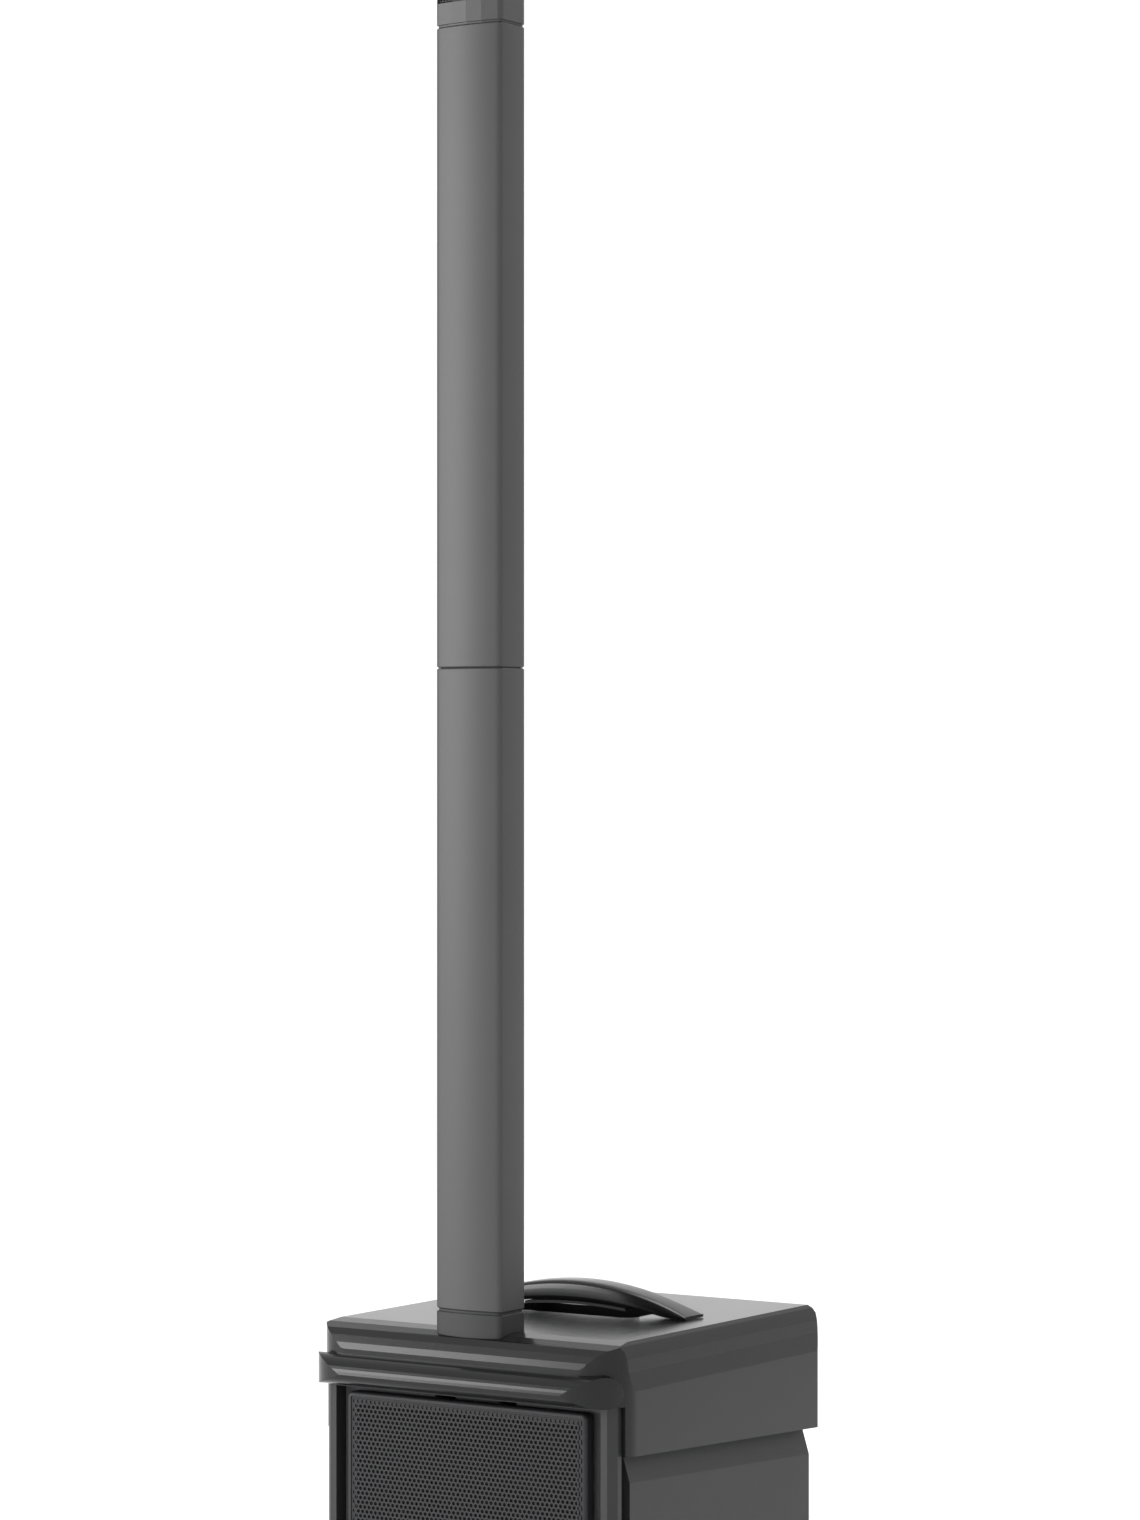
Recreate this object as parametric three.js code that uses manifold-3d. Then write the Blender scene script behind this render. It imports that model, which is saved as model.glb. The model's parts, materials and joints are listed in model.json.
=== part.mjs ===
// Portable column loudspeaker: a boxy bass unit with a plug-in column of two spacer
// tubes and a small driver array. Millimetres, +Z up, front towards -Y. The pieces are
// placed from the middle of the bass cabinet; the last lines move the origin.
import * as THREE from "three";
import Module from "manifold-3d";
import { mergeVertices } from "three/addons/utils/BufferGeometryUtils.js";

const wasm = await Module();
wasm.setup();

// ---------------------------------------------------------------- driving dimensions
const FIT = 0.3; // gap left between neighbouring pieces

const BASE_HALF_WIDTH = 164;
const BASE_HALF_DEPTH = 176;
const BASE_TOP = 440;
const FOOT_HEIGHT = 10;

const CAP_LIP = 8; // overhang of the top cap past the sides and back of the base
const CAP_FRONT = 12; // overhang of the cap's front wall past the front frame
const CAP_CORNER = { front: 39, back: 6 }; // radii of the cap's upright corners
const CAP_PLATE = 8;
const CAP_DEPTH = 40; // from the cap's top down to the cabinet
const CAP_WALL_DROP = 58; // from the cap's top down to the foot of its front wall
const SKIRT_DROP = { front: 104, back: 120 }; // the side skirts deepen towards the back
// Rounded lip along the cap's front: it stands out from the wall and fades at the corners.
const BEAD = { reach: 19, up: 17, down: 12, drop: 46, corner: 48 };
// Upper edges of the cap, each point as [set back from the wall, drop from the top].
const FRONT_EDGE = [[0, 24], [1, 18], [4, 11.5], [10, 6], [22, 2], [38, 0]];
const SIDE_EDGE = [[0, 45], [1.6, 27], [2.2, 15], [3.2, 8], [5.6, 3], [9, 0]];

const CABINET_WALL = 12;
const BAFFLE_THICKNESS = 15;
const BAFFLE_SETBACK = 16; // woofer wall behind the face of the front frame
const SIDE_PANEL_THICKNESS = 12;
const FRAME_BORDER = 14;
const FRAME_THICKNESS = 13.5;
const FRAME_CHAMFER = 7; // slanted upright corners of the front frame
const GRILLE_GAP = 14; // dark channel round the grille
const SIDE_GROOVE = 14; // dark channel between the front frame and the side panel

const COLUMN_Y = -152;
const COLUMN_SECTION = { width: 75, depth: 48, bulge: 4.5, frontEdge: 4, backCorner: 9 };
const TONGUE_SECTION = { width: 52, depth: 24, bulge: 1, frontEdge: 2, backCorner: 4 };
const COLUMN_WALL = 3;
const TUBE_LENGTH = 600;
const ARRAY_LENGTH = 342;
const NECK_HEIGHT = 19; // neck of the socket above the cap, which the column stands on
const SHADOW_LINE = { height: 2, depth: 1.5 }; // groove on the neck and under the array
const SOCKET_HALF_DEPTH = 30; // from the column's axis to the back of the socket block
const TONGUE_SETBACK = 8; // the tongue sits behind the column's axis
const SOCKET_DEPTH = 110; // from the top of the neck to the bottom of the socket
const TONGUE_LENGTH = 60; // plug reaching down into the piece below
const INSERT_LENGTH = 20; // plug reaching up into its own piece
const ARRAY_FOOT = 22; // plain band of the array under its grille

const DRIVER_COUNT = 4;
const DRIVER_PITCH = 74;
const DRIVER_RADIUS = 31;

const WOOFER_Z = 215;
const WOOFER_RADIUS = 104;
const PORT_Z = 68;
const PORT_RADIUS = 24;

const PANEL_FACE_Y = 163;
const PANEL_THICKNESS = 3;

// ------------------------------------------------------------------ derived positions
const CABINET_HALF_WIDTH = BASE_HALF_WIDTH - SIDE_PANEL_THICKNESS - FIT;
const CABINET_BOTTOM = FOOT_HEIGHT + FIT;
const CABINET_TOP = BASE_TOP - CAP_DEPTH - FIT;
const BAFFLE_Y = -BASE_HALF_DEPTH + BAFFLE_SETBACK; // front face of the woofer wall
const FRAME_FACE_Y = -BASE_HALF_DEPTH;
const FRAME_BACK_Y = FRAME_FACE_Y + FRAME_THICKNESS;
const FRAME_TOP = BASE_TOP - CAP_WALL_DROP - FIT;
const FRAME_BOTTOM = CABINET_BOTTOM + 2;
const SIDE_PANEL_FRONT_Y = FRAME_BACK_Y + SIDE_GROOVE;

const COLUMN_SEAT = BASE_TOP + NECK_HEIGHT;
const LOWER_TUBE_TOP = COLUMN_SEAT + TUBE_LENGTH;
const UPPER_TUBE_TOP = LOWER_TUBE_TOP + TUBE_LENGTH;
const ARRAY_TOP = UPPER_TUBE_TOP + ARRAY_LENGTH;

const SOCKET_BOTTOM = COLUMN_SEAT - SOCKET_DEPTH;
const SOCKET_BLOCK_TOP = CABINET_TOP + 2;
const SOCKET_FLOOR = 6;
const SOCKET_HALF_WIDTH = 46;
const SOCKET_BACK_Y = COLUMN_Y + SOCKET_HALF_DEPTH;
const TONGUE_Y = COLUMN_Y + TONGUE_SETBACK;

const GRILLE = {
  halfWidth: BASE_HALF_WIDTH - FRAME_BORDER - GRILLE_GAP,
  bottom: FRAME_BOTTOM + 24,
  top: FRAME_TOP - 7,
  front: FRAME_FACE_Y - 2,
  back: FRAME_FACE_Y + 10,
  sheet: 1.5,
};
const HANDLE = { y: 21, halfWidth: 17, halfSpan: 128, foot: 26, rise: 30, thickness: 20 };
const RECESS = { halfLength: 76, yMin: -10, yMax: 52, floor: BASE_TOP - 26 };
const REAR_OPENING = { halfWidth: 122, bottom: 50, top: 385, ledge: 8 };

const CAP_FRONT_Y = -BASE_HALF_DEPTH - CAP_FRONT;
const CAP_BACK_Y = BASE_HALF_DEPTH + CAP_LIP;
const BEAD_FRONT_Y = CAP_FRONT_Y - BEAD.reach;

// ------------------------------------------------------------------------- materials
function finish(color, roughness, metalness = 0) {
  return new THREE.MeshStandardMaterial({ color, roughness, metalness });
}

const CASE_PLASTIC = finish(0x4c4d50, 0.55);
const CAP_PLASTIC = finish(0x77787a, 0.35);
const COLUMN_PLASTIC = finish(0x727274, 0.45);
const SOCKET_PLASTIC = finish(0x2c2d2f, 0.6);
const CABINET_PAINT = finish(0x2f3032, 0.7);
const GRILLE_METAL = finish(0x3d3d40, 0.5, 0.6);
const FOAM = finish(0x1a1a1b, 0.95);
const RUBBER = finish(0x1b1b1c, 0.85);
const PANEL_METAL = finish(0x232426, 0.5, 0.5);
const ALUMINIUM = finish(0x3a3b3d, 0.4, 0.8);
const KNOB_PLASTIC = finish(0x1f1f21, 0.5);
const BUTTON_PLASTIC = finish(0x8a8b8e, 0.5);
const JACK_PLASTIC = finish(0x161617, 0.5);
const CONE_PAPER = finish(0x222223, 0.85);
const DRIVER_STEEL = finish(0x55565a, 0.45, 0.8);
const CIRCUIT_BOARD = finish(0x1d4a30, 0.5);
const LAMP_PLASTIC = finish(0x7fd08a, 0.3);

// ------------------------------------------------------------------- solid modelling
/** Turns a closed three.js geometry into a solid that can be cut and joined. */
function toSolid(geometry) {
  const bare = geometry.clone();
  bare.deleteAttribute("normal");
  bare.deleteAttribute("uv");
  const merged = mergeVertices(bare, 1e-4);
  const corners = merged.getIndex().array;
  const kept = [];
  for (let i = 0; i < corners.length; i += 3) {
    const [a, b, c] = corners.slice(i, i + 3);
    if (a !== b && b !== c && c !== a) kept.push(a, b, c);
  }
  return new wasm.Manifold(
    new wasm.Mesh({
      numProp: 3,
      vertProperties: new Float32Array(merged.getAttribute("position").array),
      triVerts: new Uint32Array(kept),
    }),
  );
}

/** A solid's surface as three.js geometry. */
function toGeometry(solid) {
  const { vertProperties, triVerts } = solid.getMesh();
  const geometry = new THREE.BufferGeometry();
  geometry.setAttribute("position", new THREE.BufferAttribute(vertProperties, 3));
  geometry.setIndex(new THREE.BufferAttribute(triVerts, 1));
  geometry.computeVertexNormals();
  return geometry;
}

function box([x0, x1], [y0, y1], [z0, z1]) {
  const geometry = new THREE.BoxGeometry(x1 - x0, y1 - y0, z1 - z0);
  geometry.translate((x0 + x1) / 2, (y0 + y1) / 2, (z0 + z1) / 2);
  return toSolid(geometry);
}

/** A round bar along Y. */
function rodAlongY(radius, [y0, y1], x = 0, z = 0, segments = 32) {
  const geometry = new THREE.CylinderGeometry(radius, radius, y1 - y0, segments);
  geometry.translate(x, (y0 + y1) / 2, z);
  return toSolid(geometry);
}

/** Revolves [radius, height] points, listed anticlockwise, about the Y axis. */
function turnAboutY(profile, segments = 32) {
  const points = profile.map(([radius, y]) => new THREE.Vector2(radius, y));
  points.push(points[0].clone());
  return toSolid(new THREE.LatheGeometry(points, segments));
}

/** Extrudes a shape drawn in X and Y upwards. */
function extrudeUp(shape, [z0, z1], curveSegments = 4) {
  const options = { depth: z1 - z0, bevelEnabled: false, curveSegments };
  const geometry = new THREE.ExtrudeGeometry(shape, options);
  geometry.translate(0, 0, z0);
  return toSolid(geometry);
}

/** Extrudes a shape drawn in X and Z along Y; it may fall by an amount per millimetre. */
function extrudeAlongY(shape, [y0, y1], curveSegments = 6, fall = 0) {
  const options = { depth: y1 - y0, bevelEnabled: false, curveSegments };
  const geometry = new THREE.ExtrudeGeometry(shape, options);
  geometry.rotateX(Math.PI / 2);
  geometry.translate(0, y1 - y0, 0);
  geometry.applyMatrix4(new THREE.Matrix4().makeShear(0, 0, 0, -fall, 0, 0));
  geometry.translate(0, y0, 0);
  return toSolid(geometry);
}

/** Extrudes a shape drawn in Y and Z along X. */
function extrudeAlongX(shape, [x0, x1], curveSegments = 6) {
  const options = { depth: x1 - x0, bevelEnabled: false, curveSegments };
  const geometry = new THREE.ExtrudeGeometry(shape, options);
  const turn = new THREE.Matrix4().set(0, 0, 1, 0, 1, 0, 0, 0, 0, 1, 0, 0, 0, 0, 0, 1);
  geometry.applyMatrix4(turn);
  geometry.translate(x0, 0, 0);
  return toSolid(geometry);
}

function polygon(points) {
  return new THREE.Shape(points.map(([x, y]) => new THREE.Vector2(x, y)));
}

function roundedRectangle(halfWidth, halfHeight, radius, centreX = 0, centreY = 0) {
  const shape = new THREE.Shape();
  const right = centreX + halfWidth - radius;
  const left = centreX - halfWidth + radius;
  const top = centreY + halfHeight - radius;
  const bottom = centreY - halfHeight + radius;
  shape.absarc(right, bottom, radius, -Math.PI / 2, 0);
  shape.absarc(right, top, radius, 0, Math.PI / 2);
  shape.absarc(left, top, radius, Math.PI / 2, Math.PI);
  shape.absarc(left, bottom, radius, Math.PI, 1.5 * Math.PI);
  shape.closePath();
  return shape;
}

/** Column cross-section centred on y: arched front, flat sides and round back corners. */
function columnOutline(section, margin = 0, y = 0) {
  const side = section.width / 2 + margin;
  const front = y - section.depth / 2 - margin;
  const back = y + section.depth / 2 + margin;
  const edge = Math.max(section.frontEdge + margin, 0.8);
  const corner = Math.max(section.backCorner + margin, 1);
  const shoulder = front + section.bulge;
  const archEnd = shoulder - edge * 0.35;
  const shape = new THREE.Shape();
  shape.moveTo(-side, shoulder + edge);
  shape.quadraticCurveTo(-side, shoulder, -side + edge, archEnd);
  shape.quadraticCurveTo(0, 2 * front - archEnd, side - edge, archEnd);
  shape.quadraticCurveTo(side, shoulder, side, shoulder + edge);
  shape.lineTo(side, back - corner);
  shape.absarc(side - corner, back - corner, corner, 0, Math.PI / 2);
  shape.absarc(-side + corner, back - corner, corner, Math.PI / 2, Math.PI);
  shape.closePath();
  return shape;
}

/** A named mesh made of a solid. */
function piece(name, solid, material) {
  const mesh = new THREE.Mesh(toGeometry(solid), material);
  mesh.name = name;
  return mesh;
}

// ---------------------------------------------------------------------- bass cabinet
function bassCabinet() {
  const wall = CABINET_WALL;
  const inner = CABINET_HALF_WIDTH - wall;
  const shell = box(
    [-CABINET_HALF_WIDTH, CABINET_HALF_WIDTH],
    [BAFFLE_Y, BASE_HALF_DEPTH],
    [CABINET_BOTTOM, CABINET_TOP],
  );
  const room = box(
    [-inner, inner],
    [BAFFLE_Y + BAFFLE_THICKNESS, PANEL_FACE_Y - 10],
    [CABINET_BOTTOM + wall, CABINET_TOP - wall],
  );
  const { halfWidth, bottom, top, ledge } = REAR_OPENING;
  const rebate = box(
    [-halfWidth, halfWidth],
    [PANEL_FACE_Y - PANEL_THICKNESS - FIT, BASE_HALF_DEPTH + 1],
    [bottom, top],
  );
  const rearHole = box(
    [-halfWidth + ledge, halfWidth - ledge],
    [PANEL_FACE_Y - 20, BASE_HALF_DEPTH + 1],
    [bottom + ledge, top - ledge],
  );
  const through = [BAFFLE_Y - 1, BAFFLE_Y + BAFFLE_THICKNESS + 1];
  const wooferHole = rodAlongY(WOOFER_RADIUS - 10, through, 0, WOOFER_Z, 36);
  const portHole = rodAlongY(PORT_RADIUS + 4, through, 0, PORT_Z);
  const socketNotch = box(
    [-SOCKET_HALF_WIDTH - FIT, SOCKET_HALF_WIDTH + FIT],
    [BAFFLE_Y - 1, SOCKET_BACK_Y + FIT],
    [SOCKET_BOTTOM, CABINET_TOP + 1],
  );
  return shell
    .subtract(room)
    .subtract(rebate)
    .subtract(rearHole)
    .subtract(wooferHole)
    .subtract(portHole)
    .subtract(socketNotch);
}

/** Frame round the grille, with slanted upright corners; its web is hidden behind them. */
function frontFrame() {
  const side = BASE_HALF_WIDTH;
  const slant = FRAME_FACE_Y + FRAME_CHAMFER;
  const plan = polygon([
    [-side + FRAME_CHAMFER, FRAME_FACE_Y],
    [side - FRAME_CHAMFER, FRAME_FACE_Y],
    [side, slant],
    [side, FRAME_BACK_Y],
    [CABINET_HALF_WIDTH, FRAME_BACK_Y],
    [CABINET_HALF_WIDTH, BAFFLE_Y - FIT],
    [-CABINET_HALF_WIDTH, BAFFLE_Y - FIT],
    [-CABINET_HALF_WIDTH, FRAME_BACK_Y],
    [-side, FRAME_BACK_Y],
    [-side, slant],
  ]);
  const opening = box(
    [-GRILLE.halfWidth - GRILLE_GAP, GRILLE.halfWidth + GRILLE_GAP],
    [FRAME_FACE_Y - 1, BAFFLE_Y + 1],
    [GRILLE.bottom - GRILLE_GAP / 2, GRILLE.top + 4],
  );
  return extrudeUp(plan, [FRAME_BOTTOM, FRAME_TOP]).subtract(opening);
}

/** Grille tray: a flat sheet with its four edges folded back. */
function frontGrille() {
  const halfHeight = (GRILLE.top - GRILLE.bottom) / 2;
  const centre = (GRILLE.top + GRILLE.bottom) / 2;
  const outer = roundedRectangle(GRILLE.halfWidth, halfHeight, 6, 0, centre);
  const { sheet } = GRILLE;
  const inner = roundedRectangle(GRILLE.halfWidth - sheet, halfHeight - sheet, 5, 0, centre);
  const block = extrudeAlongY(outer, [GRILLE.front, GRILLE.back], 3);
  return block.subtract(extrudeAlongY(inner, [GRILLE.front + sheet, GRILLE.back + 1], 3));
}

function grilleFoam() {
  const margin = GRILLE.sheet + FIT;
  const outline = roundedRectangle(
    GRILLE.halfWidth - margin,
    (GRILLE.top - GRILLE.bottom) / 2 - margin,
    5,
    0,
    (GRILLE.top + GRILLE.bottom) / 2,
  );
  return extrudeAlongY(outline, [GRILLE.front + margin, GRILLE.front + margin + 4], 3);
}

/** A side panel, for x > 0; its sloping shoulder follows the edge of the cap's skirt. */
function sidePanel() {
  const inner = BASE_HALF_WIDTH - SIDE_PANEL_THICKNESS;
  const skirt = BASE_TOP - SKIRT_DROP.front;
  const shoulder = skirt - 26;
  const neck = inner + 4;
  const tuck = 16; // how far the panel reaches up behind the skirt
  const split = shoulder - 40;
  const lengthwise = [SIDE_PANEL_FRONT_Y, BASE_HALF_DEPTH];
  const fall = (SKIRT_DROP.back - SKIRT_DROP.front) / (lengthwise[1] - lengthwise[0]);
  const bottomEdge = 3;
  const lower = polygon([
    [inner, FRAME_BOTTOM],
    [BASE_HALF_WIDTH - bottomEdge, FRAME_BOTTOM],
    [BASE_HALF_WIDTH, FRAME_BOTTOM + bottomEdge],
    [BASE_HALF_WIDTH, split],
    [inner, split],
  ]);
  const upper = polygon([
    [inner, split - 1],
    [BASE_HALF_WIDTH, split - 1],
    [BASE_HALF_WIDTH, shoulder],
    [neck, skirt],
    [neck, skirt + tuck],
    [inner, skirt + tuck],
  ]);
  const rib = 8;
  const pocket = box(
    [inner - 1, BASE_HALF_WIDTH - 4],
    [lengthwise[0] + rib, lengthwise[1] - rib],
    [FRAME_BOTTOM + rib, shoulder - 24],
  );
  return extrudeAlongY(lower, lengthwise)
    .add(extrudeAlongY(upper, lengthwise, 1, fall))
    .subtract(pocket);
}

function foot() {
  const geometry = new THREE.CylinderGeometry(17, 15, FOOT_HEIGHT, 28);
  geometry.rotateX(Math.PI / 2);
  geometry.translate(0, 0, FOOT_HEIGHT / 2);
  return toSolid(geometry);
}

// ---------------------------------------------------------------------------- woofer
const WOOFER_FLANGE_Y = BAFFLE_Y - FIT;
const CONE_RADIUS = 80;
const COIL_RADIUS = 19;
const BASKET_BACK_Y = BAFFLE_Y + 62;
const BASKET_WINDOW = { count: 4, width: 42, height: 44, radius: 79, margin: 14 };

/** Open frame of the woofer: flange, sloping basket and back ring. */
function wooferBasket() {
  const front = WOOFER_FLANGE_Y - 3;
  const back = BASKET_BACK_Y;
  const basket = turnAboutY(
    [
      [WOOFER_RADIUS, front],
      [WOOFER_RADIUS, WOOFER_FLANGE_Y],
      [WOOFER_RADIUS - 12, WOOFER_FLANGE_Y],
      [56, back],
      [30, back],
      [30, back - 3],
      [53, back - 3],
      [WOOFER_RADIUS - 15, WOOFER_FLANGE_Y - 1],
      [WOOFER_RADIUS - 12, front],
    ],
    36,
  );
  let open = basket;
  const { count, width, height, radius, margin } = BASKET_WINDOW;
  for (let i = 0; i < count; i += 1) {
    const window = new THREE.BoxGeometry(width, back - BAFFLE_Y - 2 * margin, height);
    window.translate(radius, (back + BAFFLE_Y) / 2 + 2, 0);
    window.rotateY(((i + 0.5) * 2 * Math.PI) / count);
    open = open.subtract(toSolid(window));
  }
  return open;
}

/** Magnet with the ring-shaped slot that the voice coil runs in. */
function wooferMagnet() {
  const front = BASKET_BACK_Y + FIT;
  const back = front + 30;
  return turnAboutY(
    [
      [0, front],
      [COIL_RADIUS - 3, front],
      [COIL_RADIUS - 3, front + 20],
      [COIL_RADIUS + 3, front + 20],
      [COIL_RADIUS + 3, front],
      [68, front],
      [68, back],
      [0, back],
    ],
    36,
  );
}

/** Paper cone with its dust cap and the voice coil tube behind it. */
function wooferCone() {
  const rim = BAFFLE_Y - 2;
  const neck = BAFFLE_Y + 36;
  const coilEnd = BASKET_BACK_Y + 10;
  return turnAboutY(
    [
      [0, neck - 14],
      [12, neck - 12],
      [COIL_RADIUS + 5, neck - 5],
      [CONE_RADIUS - 3, rim],
      [CONE_RADIUS, rim],
      [CONE_RADIUS, rim + 2],
      [COIL_RADIUS + 1, neck],
      [COIL_RADIUS + 1, coilEnd],
      [COIL_RADIUS - 1, coilEnd],
      [COIL_RADIUS - 1, neck - 4],
      [11, neck - 10],
      [0, neck - 12],
    ],
    36,
  );
}

/** Half-roll surround between the cone and the flange. */
function wooferSurround() {
  const inner = CONE_RADIUS + FIT;
  const outer = WOOFER_RADIUS - 15;
  const middle = (inner + outer) / 2;
  const base = WOOFER_FLANGE_Y - 3 - FIT;
  const rise = 3.6;
  return turnAboutY(
    [
      [inner, base - 1.2],
      [middle - 2, base - rise],
      [middle + 2, base - rise],
      [outer, base - 1.2],
      [WOOFER_RADIUS - 4, base - 1.2],
      [WOOFER_RADIUS - 4, base],
      [outer - 1, base],
      [middle + 1.4, base - rise + 1.5],
      [middle - 1.4, base - rise + 1.5],
      [inner, base],
    ],
    36,
  );
}

/** Flared reflex port tube. */
function portTube() {
  const mouth = BAFFLE_Y - 3;
  const r = PORT_RADIUS;
  return turnAboutY([
    [r + 8, mouth],
    [r + 8, BAFFLE_Y - FIT],
    [r + 3.5, BAFFLE_Y - FIT],
    [r + 3.5, BAFFLE_Y + 16],
    [r + 2, BAFFLE_Y + 18],
    [r + 2, BAFFLE_Y + 110],
    [r, BAFFLE_Y + 110],
    [r, BAFFLE_Y + 8],
    [r + 2, mouth + 2],
    [r + 5, mouth],
  ]);
}

// --------------------------------------------------------------- top cap and handle
/** Plan of the cap, with wide corners at the front and small ones at the back. */
function capPlan(frontY, front) {
  const side = BASE_HALF_WIDTH + CAP_LIP;
  const { back } = CAP_CORNER;
  const shape = new THREE.Shape();
  shape.absarc(side - front, frontY + front, front, -Math.PI / 2, 0);
  shape.absarc(side - back, CAP_BACK_Y - back, back, 0, Math.PI / 2);
  shape.absarc(back - side, CAP_BACK_Y - back, back, Math.PI / 2, Math.PI);
  shape.absarc(front - side, frontY + front, front, Math.PI, 1.5 * Math.PI);
  shape.closePath();
  return shape;
}

/** Body of the cap: what its front view, side view and plan have in common. */
function capBody() {
  const side = BASE_HALF_WIDTH + CAP_LIP;
  const wallFoot = BASE_TOP - CAP_WALL_DROP;
  const skirtFoot = BASE_TOP - SKIRT_DROP.back;
  const rightEdge = SIDE_EDGE.map(([inset, drop]) => [side - inset, BASE_TOP - drop]);
  const leftEdge = rightEdge.map(([x, z]) => [-x, z]).reverse();
  const frontView = polygon([
    [-side, skirtFoot - 1],
    [side, skirtFoot - 1],
    ...rightEdge,
    ...leftEdge,
  ]);
  const sideView = polygon([
    [CAP_FRONT_Y, wallFoot],
    [FRAME_BACK_Y, wallFoot],
    [FRAME_BACK_Y, BASE_TOP - SKIRT_DROP.front],
    [CAP_BACK_Y, skirtFoot],
    ...SIDE_EDGE.map(([inset, drop]) => [CAP_BACK_Y - inset, BASE_TOP - drop]),
    ...FRONT_EDGE.map(([inset, drop]) => [CAP_FRONT_Y + inset, BASE_TOP - drop]).reverse(),
  ]);
  const plan = capPlan(CAP_FRONT_Y, CAP_CORNER.front);
  return extrudeAlongX(sideView, [-side - 1, side + 1])
    .intersect(extrudeAlongY(frontView, [CAP_FRONT_Y - 1, CAP_BACK_Y + 1]))
    .intersect(extrudeUp(plan, [skirtFoot - 2, BASE_TOP + 1], 8));
}

/** Rounded lip along the front: two half ellipses in side view, cut to a wider plan. */
function capBead() {
  const side = BASE_HALF_WIDTH + CAP_LIP;
  const middle = BASE_TOP - BEAD.drop;
  const profile = new THREE.Shape();
  profile.absellipse(CAP_FRONT_Y, middle, BEAD.reach, BEAD.up, 0, Math.PI);
  profile.absellipse(CAP_FRONT_Y, middle, BEAD.reach, BEAD.down, Math.PI, 2 * Math.PI);
  const height = [middle - BEAD.down - 1, middle + BEAD.up + 1];
  const plan = extrudeUp(capPlan(BEAD_FRONT_Y, BEAD.corner), height, 10);
  return extrudeAlongX(profile, [-side - 1, side + 1], 10).intersect(plan);
}

/** Hollow top cap with the hole for the socket's neck, the finger recess and the side skirts. */
function topCap() {
  const rest = CABINET_TOP + FIT;
  const skirtLow = BASE_TOP - SKIRT_DROP.back - 1;
  const betweenSkirts = [-BASE_HALF_WIDTH - FIT, BASE_HALF_WIDTH + FIT];
  const cabinetRoom = box(
    betweenSkirts,
    [BAFFLE_Y - FIT, BASE_HALF_DEPTH + FIT],
    [skirtLow, rest],
  );
  const frameRoom = box(
    betweenSkirts,
    [FRAME_FACE_Y - 1, BAFFLE_Y],
    [skirtLow, FRAME_TOP + FIT],
  );
  const rearCorner = REAR_OPENING.halfWidth + 10; // the skirts wrap this far round the back
  const rearRoom = box(
    [-rearCorner, rearCorner],
    [BASE_HALF_DEPTH, CAP_BACK_Y + 1],
    [skirtLow - 1, BASE_TOP - CAP_WALL_DROP + 6],
  );
  const hollow = box(
    [-BASE_HALF_WIDTH + 12, BASE_HALF_WIDTH - 12],
    [BAFFLE_Y + 10, BASE_HALF_DEPTH - 8],
    [rest - 1, BASE_TOP - CAP_PLATE],
  );
  const neckBlock = box([-52, 52], [BAFFLE_Y, SOCKET_BACK_Y + 6], [rest - 2, BASE_TOP]);
  const recessWall = 5;
  const bowl = box(
    [-RECESS.halfLength - recessWall, RECESS.halfLength + recessWall],
    [RECESS.yMin - recessWall, RECESS.yMax + recessWall],
    [RECESS.floor - recessWall, BASE_TOP],
  );
  const recessOutline = roundedRectangle(
    RECESS.halfLength,
    (RECESS.yMax - RECESS.yMin) / 2,
    14,
    0,
    (RECESS.yMax + RECESS.yMin) / 2,
  );
  const fingerRecess = extrudeUp(recessOutline, [RECESS.floor, BASE_TOP + 1], 3);
  const neckHole = extrudeUp(
    columnOutline(COLUMN_SECTION, FIT, COLUMN_Y),
    [SOCKET_BLOCK_TOP - 1 - FIT, BASE_TOP + 1],
  );
  const socketRoom = box(
    [-SOCKET_HALF_WIDTH - FIT, SOCKET_HALF_WIDTH + FIT],
    [BAFFLE_Y, SOCKET_BACK_Y + FIT],
    [rest - 2, SOCKET_BLOCK_TOP + FIT],
  );
  return capBody()
    .add(capBead())
    .subtract(cabinetRoom)
    .subtract(frameRoom)
    .subtract(rearRoom)
    .subtract(hollow.subtract(neckBlock).subtract(bowl))
    .subtract(fingerRecess)
    .subtract(neckHole)
    .subtract(socketRoom);
}

/** Socket liner: a block in the cabinet and a neck that stands out of the cap. */
function columnSocket() {
  const block = box(
    [-SOCKET_HALF_WIDTH, SOCKET_HALF_WIDTH],
    [BAFFLE_Y, SOCKET_BACK_Y],
    [SOCKET_BOTTOM + FIT, SOCKET_BLOCK_TOP],
  );
  const shoulder = COLUMN_SEAT - SHADOW_LINE.height;
  const neck = extrudeUp(
    columnOutline(COLUMN_SECTION, 0, COLUMN_Y),
    [SOCKET_BLOCK_TOP - 1, shoulder],
  );
  const ring = extrudeUp(
    columnOutline(COLUMN_SECTION, -SHADOW_LINE.depth, COLUMN_Y),
    [shoulder - 1, COLUMN_SEAT],
  );
  const clearance = 0.8;
  const tonguePocket = extrudeUp(
    columnOutline(TONGUE_SECTION, clearance, TONGUE_Y),
    [SOCKET_BOTTOM + SOCKET_FLOOR, COLUMN_SEAT + 1],
  );
  return block.add(neck).add(ring).subtract(tonguePocket);
}

/** Contact block with four pins at the bottom of the socket. */
function socketContactBlock() {
  const floor = SOCKET_BOTTOM + SOCKET_FLOOR + FIT;
  let block = box([-18, 18], [TONGUE_Y - 8, TONGUE_Y + 8], [floor, floor + 4]);
  const pinPitch = 9;
  for (let i = 0; i < 4; i += 1) {
    const x = (i - 1.5) * pinPitch;
    block = block.add(box([x - 1.5, x + 1.5], [TONGUE_Y - 3, TONGUE_Y + 3], [floor + 3, floor + 6]));
  }
  return block;
}

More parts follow.
